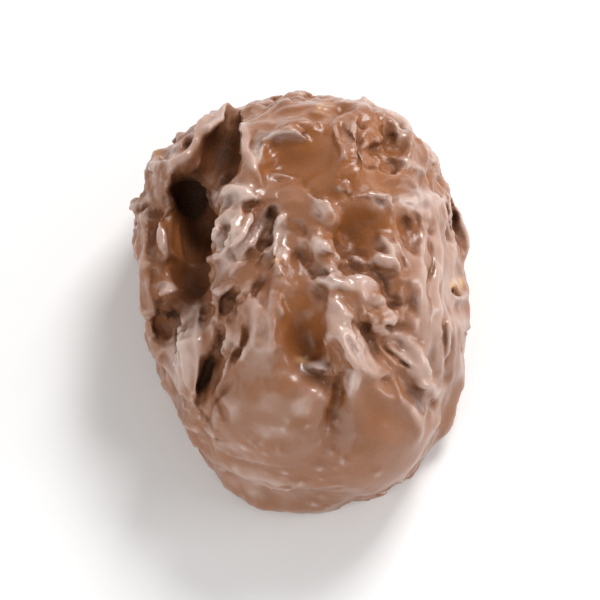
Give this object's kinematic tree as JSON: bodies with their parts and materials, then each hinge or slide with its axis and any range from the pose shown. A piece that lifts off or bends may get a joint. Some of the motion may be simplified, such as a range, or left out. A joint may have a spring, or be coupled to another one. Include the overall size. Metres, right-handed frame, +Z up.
{
  "type": "coconut cluster",
  "caption": "Milk chocolate coconut cluster: a craggy oval mound of coated shreds and flakes, with lobes, a deep side pit, a smooth lower end and a flat base.",
  "frame": {"origin": "middle of the bounding box, on the flat base", "axes": "+Z up out of the flat base, +Y along the long axis towards the craggy upper lobe, +X to the right as seen from the smooth lower end"},
  "size_m": [0.031, 0.039, 0.0225],
  "materials": {
    "milk_chocolate": "satin"
  },
  "bodies": {
    "root": {"coconut_cluster": "milk_chocolate"}
  },
  "joints": []
}
